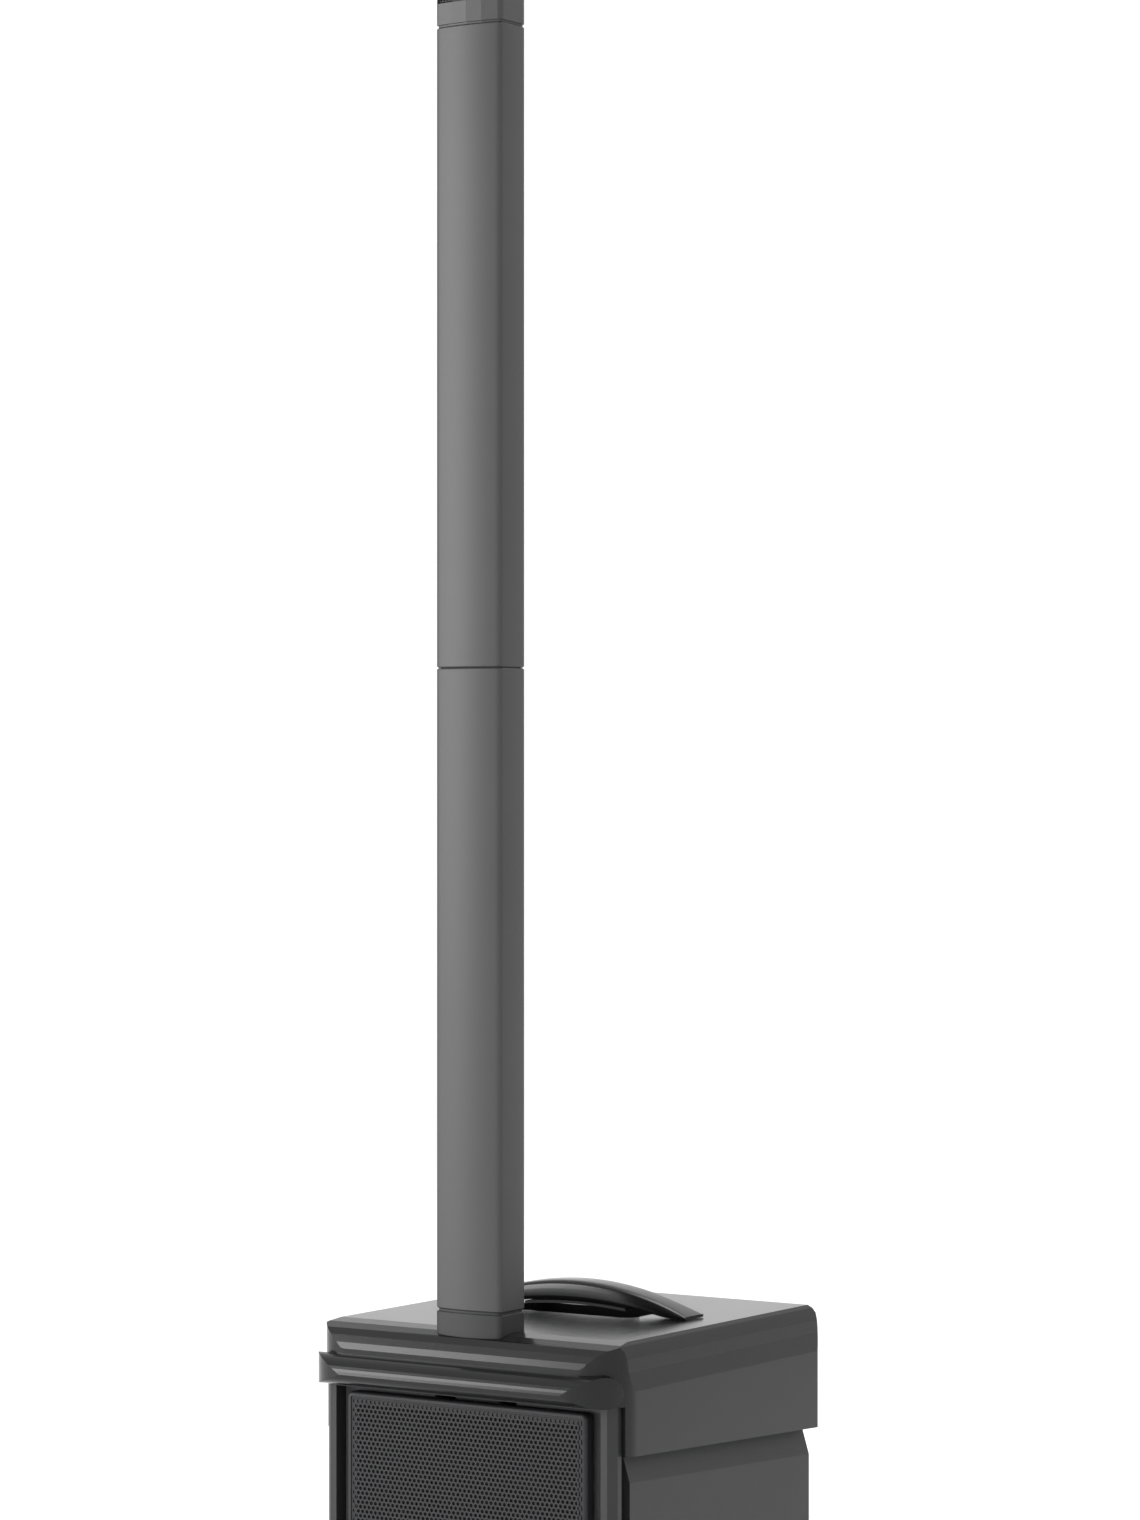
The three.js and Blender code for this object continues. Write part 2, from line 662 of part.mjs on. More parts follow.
/** Arched handle across the cap, tapering into it at both ends. */
function carryHandle() {
  const { halfSpan, foot: pad, rise, thickness, y, halfWidth } = HANDLE;
  const ground = BASE_TOP + FIT;
  const toe = 3;
  const shape = new THREE.Shape();
  shape.moveTo(halfSpan - pad, ground);
  shape.lineTo(halfSpan, ground);
  shape.lineTo(halfSpan, ground + toe);
  shape.quadraticCurveTo(0, 2 * (BASE_TOP + rise) - ground - toe, -halfSpan, ground + toe);
  shape.lineTo(-halfSpan, ground);
  shape.lineTo(-halfSpan + pad, ground);
  shape.quadraticCurveTo(0, 2 * (BASE_TOP + rise - thickness) - ground, halfSpan - pad, ground);
  const round = 3;
  const options = {
    depth: 2 * (halfWidth - round),
    bevelEnabled: true,
    bevelThickness: round,
    bevelSize: 1.4,
    bevelOffset: -1.4,
    bevelSegments: 2,
    curveSegments: 16,
  };
  const geometry = new THREE.ExtrudeGeometry(shape, options);
  geometry.rotateX(Math.PI / 2);
  geometry.translate(0, y + halfWidth - round, 0);
  return toSolid(geometry);
}

/** Soft pad under the middle of the handle. */
function handleGrip() {
  const halfLength = 58;
  const padThickness = 2.5;
  const inner = HANDLE.halfSpan - HANDLE.foot;
  const ground = BASE_TOP + FIT;
  const peak = HANDLE.rise - HANDLE.thickness - FIT;
  const undersideAt = (x) => ground + peak * (1 - (x / inner) ** 2);
  const steps = 12;
  const upper = [];
  const lower = [];
  for (let i = 0; i <= steps; i += 1) {
    const x = -halfLength + (2 * halfLength * i) / steps;
    const top = undersideAt(x) - 2 * FIT;
    upper.unshift([x, top]);
    lower.push([x, top - padThickness]);
  }
  const halfWidth = HANDLE.halfWidth - 4;
  return extrudeAlongY(polygon([...lower, ...upper]), [HANDLE.y - halfWidth, HANDLE.y + halfWidth]);
}

// -------------------------------------------------------------------- column pieces
function columnTube([z0, z1]) {
  const outer = extrudeUp(columnOutline(COLUMN_SECTION), [z0, z1]);
  const bore = extrudeUp(columnOutline(COLUMN_SECTION, -COLUMN_WALL), [z0 - 1, z1 + 1]);
  return outer.subtract(bore);
}

/** Plug of the lower tube: an insert inside the tube and a tongue for the socket. */
function lowerColumnPlug() {
  const bottom = SOCKET_BOTTOM + SOCKET_FLOOR + 10;
  const bore = columnOutline(COLUMN_SECTION, -COLUMN_WALL - FIT);
  const insert = extrudeUp(bore, [COLUMN_SEAT + FIT, COLUMN_SEAT + INSERT_LENGTH]);
  const tongue = columnOutline(TONGUE_SECTION, 0, TONGUE_Y - COLUMN_Y);
  return insert.add(extrudeUp(tongue, [bottom, COLUMN_SEAT + 1]));
}

/** Plug across a joint of the column: half in the piece above, half in the piece below. */
function jointPlug(jointZ) {
  const bore = columnOutline(COLUMN_SECTION, -COLUMN_WALL - 0.5);
  return extrudeUp(bore, [jointZ - TONGUE_LENGTH, jointZ + INSERT_LENGTH]);
}

// ---------------------------------------------------------------------- driver array
const ARRAY_BOTTOM = UPPER_TUBE_TOP + FIT;
const ARRAY_LID = ARRAY_TOP - 9;
const ARRAY_FRONT = -COLUMN_SECTION.depth / 2;
const ARRAY_BAFFLE_Y = ARRAY_FRONT + 15;
const ARRAY_GRILLE_BOTTOM = ARRAY_BOTTOM + ARRAY_FOOT;
const ARRAY_GRILLE_TOP = ARRAY_LID - 7;
const FIRST_DRIVER_Z = ARRAY_GRILLE_BOTTOM + 4 + DRIVER_RADIUS;

function arrayHousing() {
  const wall = COLUMN_WALL;
  const { height, depth } = SHADOW_LINE;
  const body = extrudeUp(columnOutline(COLUMN_SECTION), [ARRAY_BOTTOM + height, ARRAY_LID]);
  const ring = extrudeUp(
    columnOutline(COLUMN_SECTION, -depth),
    [ARRAY_BOTTOM, ARRAY_BOTTOM + height + 1],
  );
  const half = COLUMN_SECTION.width / 2;
  const back = COLUMN_SECTION.depth / 2;
  const recess = box(
    [-half + wall, half - wall],
    [ARRAY_FRONT - 1, ARRAY_BAFFLE_Y],
    [ARRAY_GRILLE_BOTTOM, ARRAY_GRILLE_TOP],
  );
  const room = box(
    [-half + wall + 2, half - wall - 2],
    [ARRAY_BAFFLE_Y + wall, back - wall - 1],
    [ARRAY_GRILLE_BOTTOM + 2, ARRAY_GRILLE_TOP],
  );
  const plugBore = extrudeUp(
    columnOutline(COLUMN_SECTION, -wall),
    [ARRAY_BOTTOM - 1, UPPER_TUBE_TOP + INSERT_LENGTH + FIT],
  );
  let housing = body.add(ring).subtract(recess).subtract(room).subtract(plugBore);
  for (let i = 0; i < DRIVER_COUNT; i += 1) {
    const z = FIRST_DRIVER_Z + i * DRIVER_PITCH;
    const hole = rodAlongY(DRIVER_RADIUS - 3.5, [ARRAY_BAFFLE_Y - 1, ARRAY_BAFFLE_Y + 5], 0, z);
    housing = housing.subtract(hole);
  }
  return housing;
}

/** Curved grille strip that closes the front of the array. */
function arrayGrille() {
  const sheet = 1.2;
  const inset = 0.4;
  const [low, high] = [ARRAY_GRILLE_BOTTOM + FIT, ARRAY_GRILLE_TOP - FIT];
  const outer = extrudeUp(columnOutline(COLUMN_SECTION, -inset), [low, high]);
  const inner = columnOutline(COLUMN_SECTION, -inset - sheet);
  const skin = outer.subtract(extrudeUp(inner, [low - 1, high + 1]));
  const half = COLUMN_SECTION.width / 2 - COLUMN_WALL - FIT;
  return skin.intersect(box([-half, half], [ARRAY_FRONT - 1, ARRAY_FRONT + 9], [low, high]));
}

function arrayTopCap() {
  const top = extrudeUp(columnOutline(COLUMN_SECTION), [ARRAY_LID + FIT, ARRAY_TOP - 3]);
  const crown = extrudeUp(columnOutline(COLUMN_SECTION, -3), [ARRAY_TOP - 4, ARRAY_TOP]);
  return top.add(crown);
}

/** Small full-range driver facing -Y: flange, cone, basket and magnet in one solid. */
function arrayDriver() {
  return turnAboutY(
    [
      [0, 1],
      [5, 1.4],
      [8, 5],
      [22, -1],
      [25, -2.6],
      [27, -1.2],
      [DRIVER_RADIUS, -1.8],
      [DRIVER_RADIUS, -FIT],
      [DRIVER_RADIUS - 4, -FIT],
      [DRIVER_RADIUS - 5, 4],
      [17, 14],
      [17, 26],
      [0, 26],
    ],
    20,
  );
}

// ------------------------------------------------------------------- rear amp panel
const KNOB_COLUMNS = [84, 36, -12, -72];
const KNOB_ROWS = { upper: 352, lower: 314 };
const SHAFT_RADIUS = 3;
const COMBO_JACKS = [
  { name: "combo_jack_1", x: 84, z: 252 },
  { name: "combo_jack_2", x: 36, z: 252 },
];
const LINE_OUTPUT = { x: -72, z: 252 };
const AUX_JACK = { x: -12, z: 262 };
const STATUS_LAMP = { x: -12, z: 240 };
const BUTTONS = [
  { name: "channel_1_switch", x: 84, z: 283 },
  { name: "channel_2_switch", x: 36, z: 283 },
  { name: "pairing_button", x: -42, z: 283 },
];
const BUTTON_RADIUS = 4;
const BARREL_RADIUS = 12;
const MAINS_INLET = { x: 84, z: 95, halfWidth: 13.5, halfHeight: 10 };
const POWER_SWITCH = { x: 84, z: 140, halfWidth: 7, halfHeight: 12 };
const FUSE = { x: 84, z: 185, radius: 6 };

function circle(radius, x, z) {
  const path = new THREE.Path();
  path.absarc(x, z, radius, 0, 2 * Math.PI);
  return path;
}

function rectangle(halfWidth, halfHeight, x, z) {
  return polygon([
    [x - halfWidth, z - halfHeight],
    [x + halfWidth, z - halfHeight],
    [x + halfWidth, z + halfHeight],
    [x - halfWidth, z + halfHeight],
  ]);
}

/** Recessed rear plate with a hole for every control and connector. */
function ampPanel() {
  const { halfWidth, bottom, top } = REAR_OPENING;
  const halfHeight = (top - bottom) / 2 - FIT;
  const plate = rectangle(halfWidth - FIT, halfHeight, 0, (top + bottom) / 2);
  const clearance = 0.4;
  for (const x of KNOB_COLUMNS) {
    for (const z of Object.values(KNOB_ROWS)) {
      plate.holes.push(circle(SHAFT_RADIUS + clearance, x, z));
    }
  }
  for (const { x, z } of [...COMBO_JACKS, LINE_OUTPUT]) {
    plate.holes.push(circle(BARREL_RADIUS + 1, x, z));
  }
  for (const { x, z } of BUTTONS) {
    plate.holes.push(circle(BUTTON_RADIUS + clearance, x, z));
  }
  plate.holes.push(circle(4 + clearance, AUX_JACK.x, AUX_JACK.z));
  plate.holes.push(circle(2 + clearance, STATUS_LAMP.x, STATUS_LAMP.z));
  plate.holes.push(circle(FUSE.radius + clearance, FUSE.x, FUSE.z));
  for (const hole of [MAINS_INLET, POWER_SWITCH]) {
    const { x, z } = hole;
    plate.holes.push(rectangle(hole.halfWidth + clearance, hole.halfHeight + clearance, x, z));
  }
  return extrudeAlongY(plate, [PANEL_FACE_Y - PANEL_THICKNESS, PANEL_FACE_Y], 8);
}

/** Fluted knob on its shaft, with a raised pointer; local y = 0 is the panel face. */
function knob() {
  const flutes = 12;
  const outline = [];
  for (let i = 0; i < 2 * flutes; i += 1) {
    const radius = i % 2 === 0 ? 7.6 : 6.8;
    const angle = (i * Math.PI) / flutes;
    outline.push([radius * Math.cos(angle), radius * Math.sin(angle)]);
  }
  const skirt = rodAlongY(9, [0.6, 3], 0, 0, 24);
  const grip = extrudeAlongY(polygon(outline), [2, 12]);
  const shaft = rodAlongY(SHAFT_RADIUS, [-4.6, 1], 0, 0, 16);
  const pointer = box([-0.8, 0.8], [11, 12.8], [1.5, 7.2]);
  return skirt.add(grip).add(shaft).add(pointer);
}

/** Push button that goes 1.5 mm into the panel. */
function pushButton() {
  return rodAlongY(BUTTON_RADIUS, [-4.6, 4], 0, 0, 20);
}

/** Combined microphone and line socket: square flange, round barrel, open bore. */
function comboJack() {
  const flange = extrudeAlongY(roundedRectangle(13, 15, 3), [FIT, 2.4], 2);
  const barrel = rodAlongY(BARREL_RADIUS, [-24, 1]);
  const bore = rodAlongY(BARREL_RADIUS - 2.5, [-20, 4]);
  const latch = box([-2.5, 2.5], [FIT, 4.5], [10.5, 14]);
  return flange.add(barrel).subtract(bore).add(latch);
}

/** Balanced output: the same flange with three pins in the bore. */
function lineOutputJack() {
  const flange = extrudeAlongY(roundedRectangle(13, 15, 3), [FIT, 2.4], 2);
  const barrel = rodAlongY(BARREL_RADIUS, [-18, 1]);
  let jack = flange.add(barrel).subtract(rodAlongY(BARREL_RADIUS - 2.5, [-15, 4]));
  const pins = 3;
  for (let i = 0; i < pins; i += 1) {
    const angle = (i * 2 * Math.PI) / pins + Math.PI / 2;
    const pin = rodAlongY(1.2, [-16, -2], 5 * Math.cos(angle), 5 * Math.sin(angle), 10);
    jack = jack.add(pin);
  }
  return jack;
}

function auxJack() {
  const nut = rodAlongY(6, [FIT, 2.4], 0, 0, 6);
  const sleeve = rodAlongY(4, [-12, 1], 0, 0, 20);
  return nut.add(sleeve).subtract(rodAlongY(1.8, [-10, 4], 0, 0, 16));
}

function statusLamp() {
  return turnAboutY([[0, -3], [2, -3], [2, 0.6], [1.2, 1.7], [0, 2]], 16);
}

function mainsInlet() {
  const { halfWidth, halfHeight } = MAINS_INLET;
  const flange = extrudeAlongY(rectangle(halfWidth + 4, halfHeight + 3, 0, 0), [FIT, 2.6]);
  const shell = extrudeAlongY(rectangle(halfWidth, halfHeight, 0, 0), [-22, 1]);
  const cavity = extrudeAlongY(rectangle(halfWidth - 2, halfHeight - 2, 0, 0), [-17, 4]);
  let inlet = flange.add(shell).subtract(cavity);
  for (const [x, z] of [[-7, -2], [0, 2.5], [7, -2]]) {
    inlet = inlet.add(box([x - 1, x + 1], [-18, -3], [z - 2, z + 2]));
  }
  return inlet;
}

function powerSwitchBezel() {
  const { halfWidth, halfHeight } = POWER_SWITCH;
  const flange = extrudeAlongY(rectangle(halfWidth + 2, halfHeight + 2, 0, 0), [FIT, 2.4]);
  const shell = extrudeAlongY(rectangle(halfWidth, halfHeight, 0, 0), [-18, 1]);
  const well = extrudeAlongY(rectangle(halfWidth - 1.6, halfHeight - 1.8, 0, 0), [-15, 4]);
  return flange.add(shell).subtract(well);
}

const ROCKER_PIVOT_Y = -1;
const ROCKER_TILT = THREE.MathUtils.degToRad(7);

/** Rocker with a shallow V front, level; it turns about local X. */
function powerRocker() {
  const profile = polygon([
    [-6, -4],
    [0, -9],
    [4.2, -9],
    [2.6, 0],
    [4.2, 9],
    [0, 9],
    [-6, 4],
  ]);
  const halfWidth = POWER_SWITCH.halfWidth - 2;
  return extrudeAlongX(profile, [-halfWidth, halfWidth]);
}

function fuseHolder() {
  const { radius } = FUSE;
  const cap = turnAboutY([
    [0, -20],
    [radius, -20],
    [radius, FIT],
    [radius + 1.5, FIT],
    [radius + 1.5, 7],
    [radius + 0.5, 8],
    [0, 8],
  ], 24);
  return cap.subtract(box([-0.8, 0.8], [6.5, 9], [-5, 5]));
}

/** Finned heat sink on the rear plate, drawn as a comb in plan. */
function heatSink() {
  const [left, right] = [-112, 44];
  const base = PANEL_FACE_Y + FIT;
  const web = base + 3;
  const tip = BASE_HALF_DEPTH - 1;
  const fins = 14;
  const pitch = (right - left) / (fins - 0.75);
  const thickness = pitch * 0.25;
  const points = [[right, base], [right, web]];
  for (let i = fins - 1; i >= 0; i -= 1) {
    const x = left + i * pitch;
    const rightSide = Math.min(x + thickness, right);
    points.push([rightSide, web], [rightSide, tip], [x, tip], [x, web]);
  }
  points.push([left, base]);
  const distinct = points.filter(([x, y], i) => {
    const [px, py] = points[(i + points.length - 1) % points.length];
    return Math.hypot(x - px, y - py) > 1e-6;
  });
  return extrudeUp(polygon(distinct), [105, 215]);
}

/** Mixer board with one potentiometer behind each knob. */
function mixerBoard() {
  const face = PANEL_FACE_Y - 16;
  let board = box([-108, 108], [face - 2, face], [292, 372]);
  for (const x of KNOB_COLUMNS) {
    for (const z of Object.values(KNOB_ROWS)) {
      board = board.add(box([x - 6, x + 6], [face - 1, face + 8], [z - 6, z + 6]));
    }
  }
  return board;
}

/** Power amplifier board with its transformer, two capacitors and a choke. */
function amplifierBoard() {
  const face = 118;
  const board = box([-104, 60], [face - 2, face], [100, 220]);
  const transformer = box([-90, -40], [face - 1, face + 24], [112, 158]);
  const choke = box([0, 30], [face - 1, face + 18], [180, 210]);
  const capacitorOne = rodAlongY(13, [face - 1, face + 26], -70, 192, 20);
  const capacitorTwo = rodAlongY(13, [face - 1, face + 26], -36, 192, 20);
  return board.add(transformer).add(choke).add(capacitorOne).add(capacitorTwo);
}

function powerSupply() {
  const floor = CABINET_BOTTOM + CABINET_WALL + FIT;
  return box([-70, 90], [40, 120], [floor, floor + 46]);
}

// -------------------------------------------------------------------------- assembly
const speaker = new THREE.Group();

const base = new THREE.Group();
const sidePanelSolid = sidePanel();
const leftPanel = piece("side_panel_left", sidePanelSolid, CASE_PLASTIC);
leftPanel.scale.x = -1;
base.add(
  piece("bass_cabinet", bassCabinet(), CABINET_PAINT),
  piece("front_frame", frontFrame(), CASE_PLASTIC),
  piece("front_grille", frontGrille(), GRILLE_METAL),
  piece("grille_foam", grilleFoam(), FOAM),
  piece("side_panel_right", sidePanelSolid, CASE_PLASTIC),
  leftPanel,
  piece("top_cap", topCap(), CAP_PLASTIC),
  piece("column_socket", columnSocket(), CASE_PLASTIC),
  piece("socket_contact_block", socketContactBlock(), JACK_PLASTIC),
  piece("carry_handle", carryHandle(), CAP_PLASTIC),
  piece("handle_grip", handleGrip(), RUBBER),
  piece("amp_panel", ampPanel(), PANEL_METAL),
  piece("heat_sink", heatSink(), ALUMINIUM),
  piece("mixer_board", mixerBoard(), CIRCUIT_BOARD),
  piece("amplifier_board", amplifierBoard(), CIRCUIT_BOARD),
  piece("power_supply", powerSupply(), ALUMINIUM),
);

const footSolid = foot();
const footNames = ["foot_front_left", "foot_front_right", "foot_back_left", "foot_back_right"];
footNames.forEach((name, i) => {
  const mesh = piece(name, footSolid, RUBBER);
  const x = i % 2 === 0 ? -120 : 120;
  const y = i < 2 ? -128 : 128;
  mesh.position.set(x, y, 0);
  base.add(mesh);
});

const woofer = new THREE.Group();
woofer.position.z = WOOFER_Z;
woofer.add(
  piece("woofer_basket", wooferBasket(), DRIVER_STEEL),
  piece("woofer_magnet", wooferMagnet(), DRIVER_STEEL),
  piece("woofer_cone", wooferCone(), CONE_PAPER),
  piece("woofer_surround", wooferSurround(), RUBBER),
);
const port = piece("bass_port_tube", portTube(), JACK_PLASTIC);
port.position.z = PORT_Z;
base.add(woofer, port);

const panelFittings = new THREE.Group();
panelFittings.position.y = PANEL_FACE_Y;

function fitToPanel(name, solid, material, { x, z }, y = 0) {
  const mesh = piece(name, solid, material);
  mesh.position.set(x, y, z);
  panelFittings.add(mesh);
  return mesh;
}

const knobSolid = knob();
const knobNames = {
  upper: ["channel_1_level", "channel_2_level", "channel_3_level", "master_level"],
  lower: ["channel_1_tone", "channel_2_tone", "reverb_level", "bass_level"],
};
for (const [row, names] of Object.entries(knobNames)) {
  names.forEach((name, i) => {
    const place = { x: KNOB_COLUMNS[i], z: KNOB_ROWS[row] };
    fitToPanel(`${name}_knob`, knobSolid, KNOB_PLASTIC, place);
  });
}
const buttonSolid = pushButton();
for (const button of BUTTONS) fitToPanel(button.name, buttonSolid, BUTTON_PLASTIC, button);
const comboSolid = comboJack();
for (const jack of COMBO_JACKS) fitToPanel(jack.name, comboSolid, JACK_PLASTIC, jack);
fitToPanel("line_output_jack", lineOutputJack(), JACK_PLASTIC, LINE_OUTPUT);
fitToPanel("aux_jack", auxJack(), JACK_PLASTIC, AUX_JACK);
fitToPanel("status_lamp", statusLamp(), LAMP_PLASTIC, STATUS_LAMP);
fitToPanel("mains_inlet", mainsInlet(), JACK_PLASTIC, MAINS_INLET);
fitToPanel("power_switch_bezel", powerSwitchBezel(), JACK_PLASTIC, POWER_SWITCH);
const rocker = fitToPanel("power_rocker", powerRocker(), KNOB_PLASTIC, POWER_SWITCH, ROCKER_PIVOT_Y);
rocker.rotation.x = -ROCKER_TILT; // the off position
fitToPanel("fuse_holder", fuseHolder(), JACK_PLASTIC, FUSE);
base.add(panelFittings);

const column = new THREE.Group();
column.position.y = COLUMN_Y;
const lowerTube = columnTube([COLUMN_SEAT + FIT, LOWER_TUBE_TOP]);
const upperTube = columnTube([LOWER_TUBE_TOP + FIT, UPPER_TUBE_TOP]);
column.add(
  piece("lower_column_tube", lowerTube, COLUMN_PLASTIC),
  piece("lower_column_plug", lowerColumnPlug(), SOCKET_PLASTIC),
  piece("upper_column_tube", upperTube, COLUMN_PLASTIC),
  piece("upper_column_plug", jointPlug(LOWER_TUBE_TOP), SOCKET_PLASTIC),
  piece("array_plug", jointPlug(UPPER_TUBE_TOP), SOCKET_PLASTIC),
);

const array = new THREE.Group();
array.add(
  piece("array_housing", arrayHousing(), COLUMN_PLASTIC),
  piece("array_grille", arrayGrille(), GRILLE_METAL),
  piece("array_top_cap", arrayTopCap(), COLUMN_PLASTIC),
);
const driverSolid = arrayDriver();
for (let i = 0; i < DRIVER_COUNT; i += 1) {
  const driver = piece(`array_driver_${i + 1}`, driverSolid, CONE_PAPER);
  driver.position.set(0, ARRAY_BAFFLE_Y, FIRST_DRIVER_Z + i * DRIVER_PITCH);
  array.add(driver);
}
column.add(array);

speaker.add(base, column);

// The origin is under the middle of the whole footprint, front lip included.
speaker.position.y = -(BEAD_FRONT_Y + CAP_BACK_Y) / 2;

export default speaker;
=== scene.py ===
"""Looks for the column loudspeaker: smooth outer pieces, perforated grilles, panel
details, materials, soft studio light and the camera. Metres, row frame."""

import json
import math

import bmesh
import bpy
from mathutils import Matrix, Vector


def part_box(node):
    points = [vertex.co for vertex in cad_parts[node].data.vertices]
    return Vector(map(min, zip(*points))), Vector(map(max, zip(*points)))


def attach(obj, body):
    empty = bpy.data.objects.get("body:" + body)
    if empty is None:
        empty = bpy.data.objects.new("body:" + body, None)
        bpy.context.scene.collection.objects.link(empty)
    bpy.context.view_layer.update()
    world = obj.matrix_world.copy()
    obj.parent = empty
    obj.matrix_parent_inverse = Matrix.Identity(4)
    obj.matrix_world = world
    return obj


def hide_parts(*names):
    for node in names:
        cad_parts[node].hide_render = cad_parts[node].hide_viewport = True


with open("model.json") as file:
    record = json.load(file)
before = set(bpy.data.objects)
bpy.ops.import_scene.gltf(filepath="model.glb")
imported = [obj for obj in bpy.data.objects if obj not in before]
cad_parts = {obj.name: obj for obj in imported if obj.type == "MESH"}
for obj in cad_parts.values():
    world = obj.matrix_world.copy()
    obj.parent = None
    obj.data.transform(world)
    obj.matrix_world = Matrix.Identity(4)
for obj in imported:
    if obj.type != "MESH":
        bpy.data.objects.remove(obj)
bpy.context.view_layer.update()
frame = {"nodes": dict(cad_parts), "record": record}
nodes = frame["nodes"]
scene = bpy.context.scene

MM = 0.001


# --------------------------------------------------------------------------- camera
CAMERA_AZIMUTH = math.radians(33.5)
CAMERA_DISTANCE = 4.2
CAMERA_HEIGHT = 0.973
CAMERA_LENS = 103.0
CABINET_MIDDLE_Y = 11.5 * MM  # the front lip moves the origin ahead of the cabinet


def make_camera():
    """A level camera to the front right, looking through the middle of the cabinet."""
    data = bpy.data.cameras.new("camera")
    data.lens = CAMERA_LENS
    data.sensor_width = 36.0
    camera = bpy.data.objects.new("camera", data)
    scene.collection.objects.link(camera)
    east = math.sin(CAMERA_AZIMUTH) * CAMERA_DISTANCE
    south = -math.cos(CAMERA_AZIMUTH) * CAMERA_DISTANCE
    camera.location = (east, south + CABINET_MIDDLE_Y, CAMERA_HEIGHT)
    camera.rotation_euler = (math.radians(90.0), 0.0, CAMERA_AZIMUTH)
    scene.camera = camera


# ------------------------------------------------------------------ floor and lights
def make_floor():
    """A pale floor that curves up into a backdrop well behind the object."""
    half, reach, height, radius = 9.0, 7.0, 7.0, 2.5
    profile = [(-12.0, 0.0)]
    steps = 12
    for i in range(steps + 1):
        angle = i / steps * math.pi / 2
        profile.append((reach + radius * math.sin(angle), radius * (1 - math.cos(angle))))
    profile.append((reach + radius, height))
    mesh = bmesh.new()
    rows = [[mesh.verts.new((x, y, z)) for y, z in profile] for x in (-half, half)]
    for i in range(len(profile) - 1):
        mesh.faces.new((rows[0][i], rows[1][i], rows[1][i + 1], rows[0][i + 1]))
    floor = object_from(mesh, "studio_floor", smooth=True)
    floor.rotation_euler = (0.0, 0.0, CAMERA_AZIMUTH)
    floor.data.materials.append(
        material("studio_white", (0.94, 0.94, 0.94), 0.9, noise=(3.0, 0.01), bump=0.0)
    )


def make_light(name, place, target, size, power):
    data = bpy.data.lights.new(name, "AREA")
    data.shape = "RECTANGLE"
    data.size, data.size_y = size
    data.energy = power
    lamp = bpy.data.objects.new(name, data)
    lamp.location = place
    lamp.rotation_mode = "QUATERNION"
    direction = Vector(target) - Vector(place)
    lamp.rotation_quaternion = direction.to_track_quat("-Z", "Y")
    scene.collection.objects.link(lamp)


def make_world():
    world = bpy.data.worlds.new("studio")
    world.use_nodes = True
    background = world.node_tree.nodes["Background"]
    background.inputs["Color"].default_value = (1.0, 1.0, 1.0, 1.0)
    background.inputs["Strength"].default_value = 1.0
    scene.world = world
    scene.view_settings.view_transform = "Standard"


# ------------------------------------------------------------------------- materials
def material(
    name, color, roughness, metallic=0.0, noise=(900.0, 0.12), bump=0.15, specular=0.5
):
    """A procedural material: fine grain in height, and slow changes of tone and gloss.

    noise is (grain scale, how much the tone varies); bump is the grain's strength."""
    made = bpy.data.materials.new(name)
    made.use_nodes = True
    tree = made.node_tree
    shader = tree.nodes["Principled BSDF"]
    place = tree.nodes.new("ShaderNodeTexCoord")
    grain = tree.nodes.new("ShaderNodeTexNoise")
    grain.inputs["Scale"].default_value = noise[0]
    grain.inputs["Detail"].default_value = 3.0
    slow = tree.nodes.new("ShaderNodeTexNoise")
    slow.inputs["Scale"].default_value = 7.0
    slow.inputs["Detail"].default_value = 4.0
    tree.links.new(place.outputs["Object"], grain.inputs["Vector"])
    tree.links.new(place.outputs["Object"], slow.inputs["Vector"])
    blend = tree.nodes.new("ShaderNodeMix")
    blend.data_type = "RGBA"
    vary = noise[1]
    blend.inputs["A"].default_value = (*[c * (1 - vary) for c in color], 1.0)
    blend.inputs["B"].default_value = (*[min(c * (1 + vary), 1.0) for c in color], 1.0)
    tree.links.new(slow.outputs["Fac"], blend.inputs["Factor"])
    tree.links.new(blend.outputs["Result"], shader.inputs["Base Color"])
    gloss = tree.nodes.new("ShaderNodeMapRange")
    gloss.inputs["To Min"].default_value = max(roughness - 0.05, 0.02)
    gloss.inputs["To Max"].default_value = min(roughness + 0.07, 1.0)
    tree.links.new(grain.outputs["Fac"], gloss.inputs["Value"])
    tree.links.new(gloss.outputs["Result"], shader.inputs["Roughness"])
    shader.inputs["Metallic"].default_value = metallic
    shader.inputs["Specular IOR Level"].default_value = specular
    if bump:
        relief = tree.nodes.new("ShaderNodeBump")
        relief.inputs["Strength"].default_value = bump
        relief.inputs["Distance"].default_value = 0.0004
        tree.links.new(grain.outputs["Fac"], relief.inputs["Height"])
        tree.links.new(relief.outputs["Normal"], shader.inputs["Normal"])
    return made


def glowing(name, color, strength):
    made = material(name, color, 0.3, bump=0.0)
    shader = made.node_tree.nodes["Principled BSDF"]
    shader.inputs["Emission Color"].default_value = (*color, 1.0)
    shader.inputs["Emission Strength"].default_value = strength
    return made


